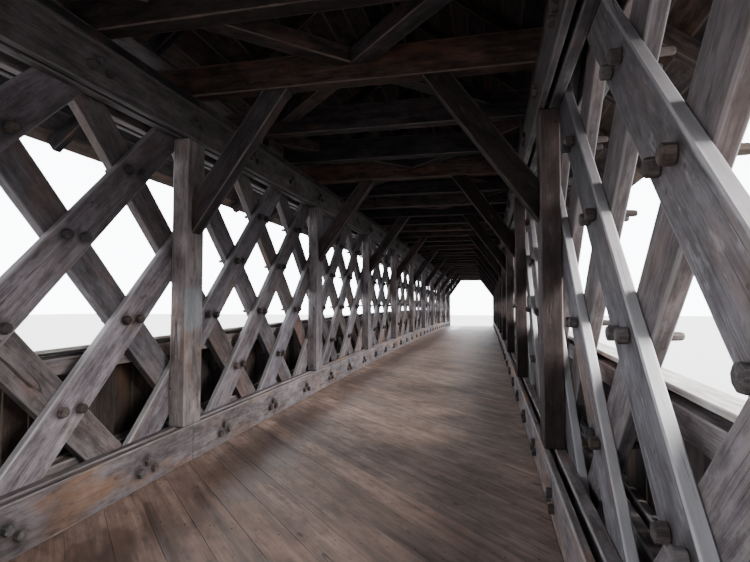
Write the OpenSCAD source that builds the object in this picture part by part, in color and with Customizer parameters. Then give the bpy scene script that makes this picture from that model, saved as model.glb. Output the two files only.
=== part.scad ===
// Covered timber footbridge with two lattice trusses, on two abutments.
// Millimetres. Z up, the bridge runs along Y, the near portal faces -Y, X to the right.

/* [Trusses] */
// Length of one bay, from post to post
bay_length = 3658; // [3000:1:3750]
// Number of bays
bays = 10; // [4:1:10]
// Lattice planks started in one bay
pitches_per_bay = 3; // [2:1:4]
// Walkway width between the inner faces of the chords
clear_width = 3100; // [2600:10:3600]
// Rise of the deck and chords at mid-span
camber = 180; // [0:5:300]
// Width of a plank of the inner lattice layer
plank_width = 290; // [200:1:330]
// Width of a plank of the outer lattice layer
outer_plank_width = 275; // [200:1:330]
// Thickness of a plank of the inner lattice layer
plank_thick = 57; // [45:1:100]
// Thickness of a plank of the outer lattice layer
outer_plank_thick = 76; // [45:1:100]
// Number of lattice crossings between curb chord and upper chord
lattice_rows = 5; // [4:1:5]
// Lowest crossings in the curb chord above the deck
first_row = 108; // [60:1:180]
// Crossings before the middle between two pitch points
row_shift = 47; // [0:1:120]

/* [Chords] */
// Thickness of the chord plank away from the lattice
chord_thick = 52; // [45:1:75]
// Thickness of the chord plank against the lattice
chord_back_thick = 80; // [50:1:90]
// Space between the two planks
chord_space = 38; // [15:1:45]
// Height of one chord plank
chord_height = 330; // [260:1:340]
// Bottom of the curb chord above the deck
curb_lift = -10; // [-15:1:10]
// Upper chord above its row of crossings
upper_chord_lift = 5; // [-60:1:40]
// Open joint where two timbers butt
butt_gap = 2; // [1:0.5:6]

/* [Posts and knee braces] */
// Post size along the bridge
post_along = 280; // [200:1:320]
// Post face behind the chord face
post_setback = 10; // [0:1:30]
// Height of a knee brace foot above the deck
knee_foot = 2100; // [1700:10:2200]
// Reach of a knee brace along the tie beam
knee_reach = 950; // [700:10:1050]
// Depth of a knee brace
knee_depth = 200; // [140:1:220]
// Thickness of a knee brace along the bridge
knee_thick = 140; // [90:1:160]

/* [Ties and bracing] */
// Thickness of the wall plate on the upper chords
plate_thick = 85; // [60:1:120]
// Depth of a tie beam
tie_depth = 290; // [200:1:320]
// Thickness of a tie beam along the bridge
tie_thick = 150; // [100:1:180]
// Depth of the plan bracing, flush with the tops of the ties
bracing_depth = 150; // [90:1:180]
// Width of the plan bracing
bracing_width = 160; // [100:1:180]
// Bearing of the plan bracing on the wall plates
bracing_seat = 85; // [60:1:140]

/* [Floor] */
// Thickness of the deck boards
deck_thick = 65; // [45:1:80]
// Clearance beside the deck
deck_side_gap = 5; // [2:1:15]
// Thickness of a floor beam
beam_thick = 120; // [80:1:160]

/* [Roof] */
// Roof pitch in degrees
roof_pitch = 38; // [30:1:42]
// Rafter ends beyond the outer chord
eave_reach = 1097; // [500:10:1300]
// Thickness of the rafter plates on the ends of the tie beams
rafter_plate_thick = 42; // [40:1:90]
// Width of the rafter plates
rafter_plate_width = 250; // [150:1:300]
// Depth of a rafter
rafter_depth = 145; // [110:1:180]
// Thickness of a rafter
rafter_thick = 90; // [45:1:100]
// Rafters before their tie beams
rafter_shift = 140; // [0:5:300]
// Thickness of the roof boarding
roof_thick = 30; // [22:1:45]
// Thickness of the ridge board
ridge_thick = 40; // [30:1:60]
// Width of one ridge cap board
ridge_cap_width = 190; // [140:1:240]
// Thickness of a ridge cap board
ridge_cap_thick = 25; // [18:1:35]
// Width of the thick board along the eave
eave_board_width = 150; // [100:1:200]
// Thickness of that board
eave_board_thick = 38; // [30:1:50]
// Thickness of the barge boards
barge_thick = 25; // [20:1:35]
// Depth of the barge boards
barge_depth = 200; // [160:1:240]

/* [Side cladding] */
// Thickness of the cladding
cladding_thick = 25; // [20:1:40]
// Top of the cladding above the deck
cladding_top = 1072; // [900:1:1200]
// Cladding below the lower chord
cladding_drop = 100; // [40:5:120]
// Height of the top cladding rail
rail_height = 125; // [80:1:180]
// Cap rail clear of the lattice
cap_gap = 10; // [5:1:60]
// Width of the cap rail
cap_width = 300; // [220:1:340]
// Fall of the cap rail across its width
cap_fall = 70; // [40:1:110]
// Thickness of the cap rail
cap_thick = 28; // [22:1:50]

/* [Portals] */
// Bridge beyond the end posts, to the portal face
portal_reach = 900; // [800:10:1000]
// Roof beyond the portal face
roof_reach = 210; // [120:10:300]
// Thickness of the portal wall
portal_thick = 45; // [30:1:60]
// Height of the straight sides of the portal opening
portal_side = 2360; // [2100:10:2500]
// Flat top of the portal opening below the tie beams
portal_head_drop = 70; // [40:5:200]
// Width of the flat top of the portal opening
portal_head_width = 1680; // [1200:10:2000]

/* [Abutments] */
// Deck above the lowest ground, at the ends
deck_level = 2600; // [1800:10:3600]
// Height of the bed timbers
bed_height = 150; // [100:1:250]
// Width of a bed timber along the bridge
bed_width = 220; // [150:1:260]
// Seat of the abutment inward from the end post
seat_reach = 700; // [600:10:1200]
// Abutment wider than the cladding, each side
abutment_side = 300; // [150:10:500]

/* [Hidden] */
truss_length = bays * bay_length;
pitch = bay_length / pitches_per_bay;
row_step = pitch / 2;
half_clear = clear_width / 2;
// distances from the centreline, going outward
chord_in = half_clear;
chord_width = chord_thick + chord_space + chord_back_thick;
lattice_in = chord_in + chord_width;
lattice_mid = lattice_in + plank_thick;
lattice_out = lattice_mid + outer_plank_thick;
chord_out = lattice_out + chord_width;
cladding_out = chord_out + cladding_thick;
eave_x = chord_out + eave_reach;
// heights above the deck
curb_bottom = curb_lift;
curb_top = curb_bottom + chord_height;
row_zero = first_row;
lower_bottom = row_zero - row_step - chord_height / 2;
lower_top = lower_bottom + chord_height;
upper_mid = row_zero + lattice_rows * row_step + upper_chord_lift;
upper_bottom = upper_mid - chord_height / 2;
upper_top = upper_mid + chord_height / 2;
plate_top = upper_top + plate_thick;
tie_top = plate_top + tie_depth;
rafter_seat = tie_top + rafter_plate_thick;
beam_depth = -deck_thick - lower_top;
cladding_bottom = lower_bottom - cladding_drop;
seat_level = deck_level + lower_bottom - bed_height;
backwall_level = deck_level - deck_thick;
// along the bridge
truss_half = truss_length / 2;
lattice_end = truss_half + post_along / 2;
portal_face = truss_half + portal_reach;
roof_end = portal_face + roof_reach;
backwall_face = lattice_end + 70;
// roof
roof_tan = tan(roof_pitch);
rafter_plumb = rafter_depth / cos(roof_pitch);
roof_plumb = roof_thick / cos(roof_pitch);
cap_plumb = ridge_cap_thick / cos(roof_pitch);
barge_plumb = barge_depth / cos(roof_pitch);
roof_edge = eave_x + 30;
board_edge = roof_edge - eave_board_width * cos(roof_pitch);
portal_head = plate_top - portal_head_drop;
bracing_end = chord_in + bracing_seat;
beam_step = pitch / 2;
beam_count = floor(truss_length / beam_step + 0.5);

// heights of the underside and top of the rafters above the deck, at distance x from the centreline
function rafter_under(x) = rafter_seat + (chord_out - x) * roof_tan;
function rafter_over(x) = rafter_under(x) + rafter_plumb;
function roof_over(x) = rafter_over(x) + roof_plumb;

// rise of the bridge at bay point k, and at any distance y from mid-span (straight within a bay)
function rise_at(k) = camber * (1 - pow(2 * k / bays - 1, 2));
function bay_of(y) = min(bays - 1, max(0, floor((y + truss_half) / bay_length + 0.0001)));
function rise_in(k, f) = rise_at(k) * (1 - f) + rise_at(k + 1) * f;
function along_bay(y) = (y + truss_half) / bay_length - bay_of(y);
function rise(y) = abs(y) >= truss_half - 0.001 ? 0 : rise_in(bay_of(y), along_bay(y));

// underside of the cap rail above the deck
function cap_under(x) = cladding_top + (cladding_out - x) * cap_fall / cap_width;

// both sides: the children are drawn on the right and mirrored to the left
module side(which) {
    if (which == "right") children();
    if (which == "left") mirror([1, 0, 0]) children();
}

module both_sides() {
    children();
    mirror([1, 0, 0]) children();
}

// one straight timber on bay k, cut plumb at y0 and y1; the section is drawn in x and height above base
module run(k, y0, y1, base) {
    level = k < 0 || k >= bays;
    slope = level ? 0 : atan((rise_at(k + 1) - rise_at(k)) / bay_length);
    y_ref = level ? y1 : -truss_half + (k + 1) * bay_length;
    z_ref = level ? 0 : rise_at(k + 1);
    reach = (level ? y1 - y0 : bay_length) + 2 * post_along;
    wide = 2 * roof_edge;
    intersection() {
        translate([0, y_ref, deck_level + base + z_ref]) rotate([slope + 90, 0, 0])
            translate([0, 0, -post_along]) linear_extrude(height = reach) children();
        translate([-wide, y0 + butt_gap / 2, 0])
            cube([2 * wide, y1 - y0 - butt_gap, deck_level + 2 * rafter_seat + 2 * camber]);
    }
}

// timbers bay by bay out to y_end; past the trusses they lie level
module bay_runs(y_end, base) {
    beyond = y_end > lattice_end + 1;
    if (beyond) run(-1, -y_end, -truss_half, base) children();
    for (k = [0:bays - 1]) {
        y0 = k == 0 && !beyond ? -y_end : -truss_half + k * bay_length;
        y1 = k == bays - 1 && !beyond ? y_end : -truss_half + (k + 1) * bay_length;
        run(k, y0, y1, base) children();
    }
    if (beyond) run(bays, truss_half, y_end, base) children();
}

// a flat piece drawn in x and height above the deck, set at distance y with its thickness along Y
module across(y, thick) {
    translate([0, y + thick / 2, deck_level + rise(y)]) rotate([90, 0, 0])
        linear_extrude(height = thick) children();
}

module bar_section(x0, x1, height) {
    translate([x0, 0]) square([x1 - x0, height]);
}

module abutment(near) {
    dir = near ? -1 : 1;
    half_width = cladding_out + abutment_side;
    translate([-half_width, 0, 0]) rotate([90, 0, 90]) linear_extrude(height = 2 * half_width) polygon([
        [dir * (truss_half - seat_reach), 0],
        [dir * portal_face, 0],
        [dir * portal_face, backwall_level],
        [dir * backwall_face, backwall_level],
        [dir * backwall_face, seat_level],
        [dir * (truss_half - seat_reach), seat_level]
    ]);
}

module abutment_near() {
    color("#8d8a84") abutment(true);
}

module abutment_far() {
    color("#8d8a84") abutment(false);
}

module bed_timbers() {
    half = chord_out + 60;
    color("#5f5347") for (dir = [-1, 1]) for (place = [0.2, 0.75])
        translate([-half, dir * (truss_half - seat_reach * place) - bed_width / 2, seat_level])
            cube([2 * half, bed_width, bed_height + rise(truss_half - seat_reach * place)]);
}

// a pair of planks on each face of the lattice, with the spacers between a pair at the bay points
module chord_planks(base) {
    for (x = [chord_in, chord_out - chord_thick])
        bay_runs(lattice_end, base) bar_section(x, x + chord_thick, chord_height);
    for (x = [lattice_in - chord_back_thick, lattice_out])
        bay_runs(lattice_end, base) bar_section(x, x + chord_back_thick, chord_height);
    for (x = [chord_in + chord_thick, lattice_out + chord_back_thick], k = [0:bays])
        across(-truss_half + k * bay_length, post_along) translate([x + 0.5, base + chord_height * 0.1])
            square([chord_space - 1, chord_height * 0.75]);
}

module lower_chord_left() {
    color("#6b5e51") side("left") chord_planks(lower_bottom);
}

module lower_chord_right() {
    color("#6b5e51") side("right") chord_planks(lower_bottom);
}

module curb_chord_left() {
    color("#8f8376") side("left") chord_planks(curb_bottom);
}

module curb_chord_right() {
    color("#8f8376") side("right") chord_planks(curb_bottom);
}

module upper_chord_left() {
    color("#7d7166") side("left") chord_planks(upper_bottom);
}

module upper_chord_right() {
    color("#7d7166") side("right") chord_planks(upper_bottom);
}

// one lattice plank; lean is 1 when its top is further along +Y
module lattice_plank(y_row, lean, width, thick) {
    half_plank = width / sqrt(2);
    y_low = y_row + lean * (lower_bottom - row_zero);
    y_high = y_row + lean * (upper_top - row_zero);
    z_low = deck_level + lower_bottom + rise(y_low);
    z_high = deck_level + upper_top + rise(y_high);
    rotate([90, 0, 90]) linear_extrude(height = thick) polygon([
        [y_low - half_plank, z_low],
        [y_low + half_plank, z_low],
        [y_high + half_plank, z_high],
        [y_high - half_plank, z_high]
    ]);
}

// a layer of parallel planks, cut off at the truss ends
module lattice_layer(lean, width, thick) {
    half_plank = width / sqrt(2);
    climb = upper_top - lower_bottom;
    first = -ceil((truss_half + climb) / pitch) - 1;
    for (k = [first:-first]) {
        y_row = (k + 0.5 + (pitches_per_bay * bays) % 2 / 2) * pitch - row_shift;
        y_a = y_row + lean * (lower_bottom - row_zero);
        y_b = y_row + lean * (upper_top - row_zero);
        inside = min(max(y_a, y_b), lattice_end) - max(min(y_a, y_b), -lattice_end);
        whole = min(y_a, y_b) - half_plank > -lattice_end && max(y_a, y_b) + half_plank < lattice_end;
        if (whole) lattice_plank(y_row, lean, width, thick);
        if (!whole && inside > 2 * half_plank) intersection() {
            lattice_plank(y_row, lean, width, thick);
            translate([-10, -lattice_end, 0])
                cube([thick + 20, 2 * lattice_end, deck_level + upper_top + 2 * camber + 10]);
        }
    }
}

module lattice_inner_left() {
    color("#7c6f62") side("left") translate([lattice_in, 0, 0]) lattice_layer(1, plank_width, plank_thick);
}

module lattice_inner_right() {
    color("#7c6f62") side("right") translate([lattice_in, 0, 0]) lattice_layer(1, plank_width, plank_thick);
}

module lattice_outer_left() {
    color("#6f6358") side("left") translate([lattice_mid, 0, 0])
        lattice_layer(-1, outer_plank_width, outer_plank_thick);
}

module lattice_outer_right() {
    color("#6f6358") side("right") translate([lattice_mid, 0, 0])
        lattice_layer(-1, outer_plank_width, outer_plank_thick);
}

module floor_beams() {
    color("#5d5247") for (k = [0:beam_count]) {
        y = -truss_half + k * truss_length / beam_count;
        across(y, beam_thick) translate([-lattice_in, lower_top]) square([2 * lattice_in, beam_depth]);
    }
}

module deck() {
    half = half_clear - deck_side_gap;
    color("#7a6d60") bay_runs(portal_face, -deck_thick) translate([-half, 0]) square([2 * half, deck_thick]);
}

// posts stand on the inner curb chord and carry the wall plate; the upper chord planks are cut between them
module posts() {
    for (k = [0:bays]) {
        y = -truss_half + k * bay_length;
        across(y, post_along) translate([chord_in + post_setback, curb_top])
            square([chord_width - post_setback, upper_bottom - curb_top]);
    }
}

module posts_left() {
    color("#85796c") side("left") posts();
}

module posts_right() {
    color("#85796c") side("right") posts();
}

module knee_braces() {
    foot = chord_in + post_setback;
    tip = foot - knee_reach;
    steep = atan((plate_top - knee_foot) / knee_reach);
    for (k = [0:bays]) across(-truss_half + k * bay_length, knee_thick) polygon([
        [foot, knee_foot],
        [foot, knee_foot + knee_depth / cos(steep)],
        [tip + knee_depth / sin(steep), plate_top],
        [tip, plate_top]
    ]);
}

module knee_braces_left() {
    color("#6d6155") side("left") knee_braces();
}

module knee_braces_right() {
    color("#6d6155") side("right") knee_braces();
}

// plates on the upper chords under the ties, and plates on the ends of the ties under the rafters
module wall_plates() {
    color("#5f5449") both_sides() {
        bay_runs(portal_face - portal_thick, upper_top) bar_section(chord_in, chord_out, plate_thick);
        bay_runs(portal_face - portal_thick, tie_top)
            bar_section(chord_out - rafter_plate_width, chord_out, rafter_plate_thick);
    }
}

// tie beams at every lattice pitch
module tie_beams() {
    color("#4f443a") for (k = [0:bays * pitches_per_bay]) across(-truss_half + k * pitch, tie_thick)
        translate([-chord_out, plate_top]) square([2 * chord_out, tie_depth]);
}

// diagonals in plan between the ties, crossing on the centreline at each post and ending on the blocks
module plan_bracing() {
    half = bracing_width / 2 * sqrt(2);
    fall = (bracing_end + half) / (bay_length / 2 - 5);
    face = tie_thick / 2 + 0.5;
    last = ceil(pitches_per_bay / 2) - 1;
    color("#55493e") for (k = [0:bays]) for (dir = [-1, 1]) for (j = [0:last]) {
        y_post = -truss_half + k * bay_length;
        y_from = j * pitch + face;
        y_to = min((j + 1) * pitch - face, bay_length / 2);
        rise_from = rise(y_post + dir * y_from);
        rise_to = rise(y_post + dir * y_to);
        z_low = deck_level + tie_top - bracing_depth + (j == last ? rise_to : min(rise_from, rise_to));
        if (abs(y_post + dir * y_to) < truss_half) both_sides()
            translate([0, y_post, z_low]) linear_extrude(height = bracing_depth) intersection() {
                polygon([
                    [fall * y_from - half, dir * y_from],
                    [fall * y_from + half, dir * y_from],
                    [fall * y_to + half, dir * y_to],
                    [fall * y_to - half, dir * y_to]
                ]);
                translate([0.5, -bay_length]) square([bracing_end - 0.5, 2 * bay_length]);
            }
    }
}

module bracing_blocks() {
    half = bracing_width / 2 * sqrt(2);
    fall = (bracing_end + half) / (bay_length / 2 - 5);
    wide = bay_length / 2 - (bracing_end - half) / fall;
    color("#55493e") both_sides() for (k = [0:bays - 1]) {
        y = -truss_half + (k + 0.5) * bay_length;
        translate([chord_in, y - wide, deck_level + plate_top + rise(y)])
            cube([bracing_end - chord_in, 2 * wide, tie_depth - bracing_depth]);
    }
}

// a rafter beside each tie beam and one behind each portal; their lower ends are cut square and left open
module rafter_row() {
    last = portal_face - portal_thick - rafter_thick / 2 - 1;
    tail = eave_x - rafter_depth * sin(roof_pitch);
    beside_ties = [for (k = [0:bays * pitches_per_bay]) -truss_half + k * pitch - rafter_shift];
    for (y = concat([-last], beside_ties, [last])) across(y, rafter_thick) polygon([
        [ridge_thick / 2, rafter_under(ridge_thick / 2)],
        [tail, rafter_under(tail)],
        [eave_x, rafter_over(eave_x)],
        [ridge_thick / 2, rafter_over(ridge_thick / 2)]
    ]);
}

module rafters_left() {
    color("#4b4037") side("left") rafter_row();
}

module rafters_right() {
    color("#4b4037") side("right") rafter_row();
}

module ridge_board() {
    low = rafter_under(ridge_thick / 2) - 30;
    high = rafter_over(ridge_thick / 2);
    color("#4b4037") bay_runs(portal_face - portal_thick, low)
        translate([-ridge_thick / 2, 0]) square([ridge_thick, high - low]);
}

// one roof slope, laid on the rafters from the ridge down to the eave board
module roof_slope() {
    top = rafter_over(1);
    low = board_edge - 1;
    bay_runs(roof_end, top) polygon([
        [1, 0],
        [low, rafter_over(low) - top],
        [low, roof_over(low) - top],
        [1, roof_over(1) - top]
    ]);
}

module roof_left() {
    color("#57504a") side("left") roof_slope();
}

module roof_right() {
    color("#57504a") side("right") roof_slope();
}

module ridge_cap() {
    top = roof_over(1);
    wide = ridge_cap_width * cos(roof_pitch);
    color("#57504a") both_sides() bay_runs(roof_end, top) polygon([
        [1, 0],
        [wide, roof_over(wide) - top],
        [wide, roof_over(wide) + cap_plumb - top],
        [1, cap_plumb]
    ]);
}

// the lowest board of each slope, thicker than the rest
module eave_boards() {
    base = rafter_over(roof_edge);
    lift = eave_board_thick / cos(roof_pitch);
    color("#4f463d") both_sides() bay_runs(roof_end, base) polygon([
        [board_edge, rafter_over(board_edge) - base],
        [roof_edge, 0],
        [roof_edge, lift],
        [board_edge, rafter_over(board_edge) - base + lift]
    ]);
}

module barge_boards() {
    place = roof_end - barge_thick / 2;
    color("#4f463d") both_sides() for (y = [-place, place]) across(y, barge_thick) polygon([
        [1, rafter_over(1) - barge_plumb],
        [eave_x, rafter_over(eave_x) - barge_plumb],
        [eave_x, rafter_over(eave_x)],
        [1, rafter_over(1)]
    ]);
}

module cladding() {
    bay_runs(lattice_end, cladding_bottom)
        bar_section(chord_out, cladding_out, cladding_top - cladding_bottom);
}

module cladding_left() {
    color("#4a3f36") side("left") cladding();
}

module cladding_right() {
    color("#4a3f36") side("right") cladding();
}

// rail inside the top of the cladding, its top sloped under the cap
module cladding_rails() {
    base = cladding_top - rail_height;
    inner = lattice_out + cap_gap + 6;
    color("#54483d") both_sides() bay_runs(lattice_end, base) polygon([
        [inner, 0],
        [chord_out, 0],
        [chord_out, cap_under(chord_out) - base],
        [inner, cap_under(inner) - base]
    ]);
}

// sloping cap on the cladding, falling outward
module cap_rails() {
    inner = lattice_out + cap_gap;
    outer = inner + cap_width;
    base = cap_under(outer);
    color("#b3aca2") both_sides() bay_runs(lattice_end, base) polygon([
        [inner, cap_under(inner) - base],
        [outer, 0],
        [outer, cap_thick],
        [inner, cap_under(inner) - base + cap_thick]
    ]);
}

// boarded end wall with a cut-cornered opening
module portal_wall(dir) {
    head = portal_head_width / 2;
    foot = -deck_thick;
    across(dir * (portal_face - portal_thick / 2), portal_thick) polygon([
        [-cladding_out, foot],
        [-half_clear, foot],
        [-half_clear, portal_side],
        [-head, portal_head],
        [head, portal_head],
        [half_clear, portal_side],
        [half_clear, foot],
        [cladding_out, foot],
        [cladding_out, rafter_over(cladding_out)],
        [0, rafter_over(0)],
        [-cladding_out, rafter_over(cladding_out)]
    ]);
}

module portal_near() {
    color("#5a4c40") portal_wall(-1);
}

module portal_far() {
    color("#5a4c40") portal_wall(1);
}

module portal_side_walls() {
    long = portal_face - portal_thick - lattice_end;
    high = rafter_under(cladding_out) + deck_thick;
    color("#4a3f36") both_sides() for (dir = [-1, 1])
        translate([chord_out, dir * (lattice_end + long / 2) - long / 2 + 0.5, deck_level - deck_thick])
            cube([cladding_thick, long - 1, high]);
}

abutment_near();
abutment_far();
bed_timbers();
lower_chord_left();
lower_chord_right();
floor_beams();
deck();
lattice_inner_left();
lattice_inner_right();
lattice_outer_left();
lattice_outer_right();
curb_chord_left();
curb_chord_right();
upper_chord_left();
upper_chord_right();
posts_left();
posts_right();
knee_braces_left();
knee_braces_right();
wall_plates();
tie_beams();
plan_bracing();
bracing_blocks();
rafters_left();
rafters_right();
ridge_board();
roof_left();
roof_right();
ridge_cap();
eave_boards();
barge_boards();
cladding_left();
cladding_right();
cladding_rails();
cap_rails();
portal_near();
portal_far();
portal_side_walls();
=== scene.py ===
import math
import random
import bpy
import numpy as np
from mathutils import Matrix, Vector


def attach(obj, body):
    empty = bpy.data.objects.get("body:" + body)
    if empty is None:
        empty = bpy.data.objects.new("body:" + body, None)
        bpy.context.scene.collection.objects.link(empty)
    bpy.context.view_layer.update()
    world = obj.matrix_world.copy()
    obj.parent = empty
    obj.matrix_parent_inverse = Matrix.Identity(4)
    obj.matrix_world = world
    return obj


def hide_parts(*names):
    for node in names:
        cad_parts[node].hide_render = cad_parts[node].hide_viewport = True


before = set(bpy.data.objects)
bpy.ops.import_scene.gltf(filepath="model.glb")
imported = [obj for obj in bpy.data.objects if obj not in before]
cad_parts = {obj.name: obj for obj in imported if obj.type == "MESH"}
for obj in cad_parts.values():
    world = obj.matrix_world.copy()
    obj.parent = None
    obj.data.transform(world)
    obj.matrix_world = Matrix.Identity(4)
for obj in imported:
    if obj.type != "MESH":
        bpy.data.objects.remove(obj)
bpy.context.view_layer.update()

# sizes in metres, the same as in the part's source
bay, bays = 3.658, 10
pitches_per_bay = 3
pitch = bay / pitches_per_bay
row_step = pitch / 2
camber = 0.18
deck_level = 2.6
half_clear = 1.55
plank_width, outer_plank_width = 0.29, 0.275
plank_thick, outer_plank_thick = 0.057, 0.076
lattice_rows = 5
row_zero, row_shift = 0.108, 0.047
chord_thick, chord_back, chord_space, chord_height = 0.052, 0.08, 0.038, 0.33
chord_in = half_clear
lattice_in = chord_in + chord_thick + chord_space + chord_back
lattice_mid = lattice_in + plank_thick
lattice_out = lattice_mid + outer_plank_thick
chord_out = lattice_out + lattice_in - chord_in
cladding_thick = 0.025
cladding_out = chord_out + cladding_thick
curb_bottom = -0.01
curb_top = curb_bottom + chord_height
lower_bottom = row_zero - row_step - chord_height / 2
lower_top = lower_bottom + chord_height
upper_mid = row_zero + lattice_rows * row_step + 0.005
upper_bottom = upper_mid - chord_height / 2
upper_top = upper_mid + chord_height / 2
plate_thick, tie_depth, tie_thick = 0.085, 0.29, 0.15
plate_top = upper_top + plate_thick
tie_top = plate_top + tie_depth
rafter_plate_width, rafter_plate_thick = 0.25, 0.042
rafter_seat = tie_top + rafter_plate_thick
post_along, post_setback = 0.28, 0.01
post_face = chord_in + post_setback
knee_foot, knee_reach, knee_depth, knee_thick = 2.1, 0.95, 0.2, 0.14
bracing_depth, bracing_width = 0.15, 0.16
bracing_end = chord_in + 0.085
deck_thick = 0.065
deck_half = half_clear - 0.005
beam_thick = 0.12
roof_pitch = math.radians(38)
roof_cos, roof_sin = math.cos(roof_pitch), math.sin(roof_pitch)
rafter_depth, rafter_thick, rafter_shift = 0.145, 0.09, 0.14
half_ridge = 0.02
roof_thick = 0.03
eave_x = chord_out + 1.097
roof_edge = eave_x + 0.03
board_edge = roof_edge - 0.15 * roof_cos
barge_depth = 0.2
cladding_top = 1.072
cladding_bottom = lower_bottom - 0.1
rail_height, cap_gap, cap_width, cap_fall, cap_thick = 0.125, 0.01, 0.3, 0.07, 0.028
truss_half = bays * bay / 2
lattice_end = truss_half + post_along / 2
portal_face = truss_half + 0.9
roof_end = portal_face + 0.21
portal_thick, portal_side, portal_head_half = 0.045, 2.36, 0.84
portal_head = plate_top - 0.07
bed_height, bed_width = 0.15, 0.22
seat_level = deck_level + lower_bottom - bed_height
seat_reach = 0.7
abutment_half = cladding_out + 0.3

# sizes of what only this scene shows
planed = (0.006, 0.004, 0.002)
hair = 0.001
butt_gap = 0.002
spacer_foot, spacer_head = 0.033, 0.28
peg_pair = ((-0.08, 0.0), (0.08, 0.0))
peg_trio = ((-0.085, -0.022), (0.085, -0.022), (0.0, 0.045))
pair_peg_width, trio_peg_width, trio_peg_length = 0.074, 0.068, 0.05
trio_lift = 0.03
peg_head_out, peg_tail_out = 0.052, 0.08
peg_end_room, peg_post_room = 0.05, 0.12
roof_board_thick, roof_board_rows = 0.017, 16
side_board_width = (0.17, 0.235)
deck_board_width, deck_joint = 0.245, 0.002
corner_edge = 0.06
nail_width = 0.012
board_thick, board_mid = 0.024, 0.0125
eave_width, eave_thick, end_gap = 0.147, 0.025, 0.003
ridge_cap_width, ridge_cap_down = 0.19, 0.085
trimmer_thick, trimmer_mid, jamb_width, corner_height, head_width = 0.02, 0.035, 0.15, 0.18, 0.14
least_side_board, side_slits, side_foot_drop = 0.12, (0.003, 0.004, 0.006, 0.009), 0.018
first_butt, butt_shift, roof_board_run = 2.2, 1.9, 4 * pitch
shingle_seat, eave_rise = 0.0165, 0.008

bay_points = np.array([-truss_half + k * bay for k in range(bays + 1)])
bay_rises = camber * (1 - (2 * np.arange(bays + 1) / bays - 1) ** 2)


def rise(y):
    return np.interp(y, bay_points, bay_rises)


def rafter_under(x):
    return rafter_seat + (chord_out - x) * math.tan(roof_pitch)


def rafter_over(x):
    return rafter_under(x) + rafter_depth / roof_cos


roof_top = Vector((0, 0, rafter_over(0)))


def cap_under(x):
    return cladding_top + (cladding_out - x) * cap_fall / cap_width


# the stock that timbers, pegs, nails and shingles are cut from: unit shapes with two attributes,
# corner (where a vertex stands in the unit shape) and inset (which way its chamfer moves it)
def stock_object(name, corners, insets, faces):
    mesh = bpy.data.meshes.new(name)
    mesh.from_pydata([tuple(c) for c in corners], [], faces)
    for label, values in (("corner", corners), ("inset", insets)):
        layer = mesh.attributes.new(label, "FLOAT_VECTOR", "POINT")
        layer.data.foreach_set("vector", np.array(values, dtype=np.float32).ravel())
    return bpy.data.objects.new(name, mesh)


def ring_faces(rings, count):
    faces = []
    for r in range(rings - 1):
        for i in range(count):
            j = (i + 1) % count
            faces.append((r * count + i, r * count + j, (r + 1) * count + j, (r + 1) * count + i))
    faces.append(tuple(reversed(range(count))))
    faces.append(tuple((rings - 1) * count + i for i in range(count)))
    return faces


def board_stock(name, steps):
    """a board of many short steps along x, with all its edges chamfered"""
    octagon = [(-1, -1, 1, 0), (1, -1, 1, 0), (1, -1, 0, 1), (1, 1, 0, 1),
               (1, 1, 1, 0), (-1, 1, 1, 0), (-1, 1, 0, 1), (-1, -1, 0, 1)]
    corners, insets = [], []
    for r in range(-1, steps + 2):
        x = min(max(r / steps, 0), 1) - 0.5
        extra = 1 if r < 0 or r > steps else 0
        end = -1 if r == 0 else (1 if r == steps else 0)
        for sy, sz, dy, dz in octagon:
            corners.append((x, sy * 0.5, sz * 0.5))
            insets.append((end, sy * (dy + extra), sz * (dz + extra)))
    return stock_object(name, corners, insets, ring_faces(steps + 3, 8))


def turned_stock(name, count, profile, wander=0.0):
    """a peg or nail along x, from pairs of x and radius; wander makes it look cut by hand"""
    rng = random.Random(len(profile) * 7 + count)
    corners = []
    for x, radius in profile:
        for i in range(count):
            angle = 2 * math.pi * (i + 0.5) / count
            r = radius * (1 + rng.uniform(-wander, wander))
            corners.append((x, r * math.cos(angle), r * math.sin(angle)))
    return stock_object(name, corners, [(0, 0, 0)] * len(corners), ring_faces(len(profile), count))


def shingle_stock():
    """a wedge, thin at its upper end"""
    corners = []
    for y, top in ((-0.5, -0.34), (0.5, 0.5)):
        corners += [(-0.5, y, -0.5), (0.5, y, -0.5), (0.5, y, top), (-0.5, y, top)]
    faces = [(0, 1, 2, 3), (7, 6, 5, 4), (0, 4, 5, 1), (1, 5, 6, 2), (2, 6, 7, 3), (3, 7, 4, 0)]
    return stock_object("shingle stock", corners, [(0, 0, 0)] * 8, faces)


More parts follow.
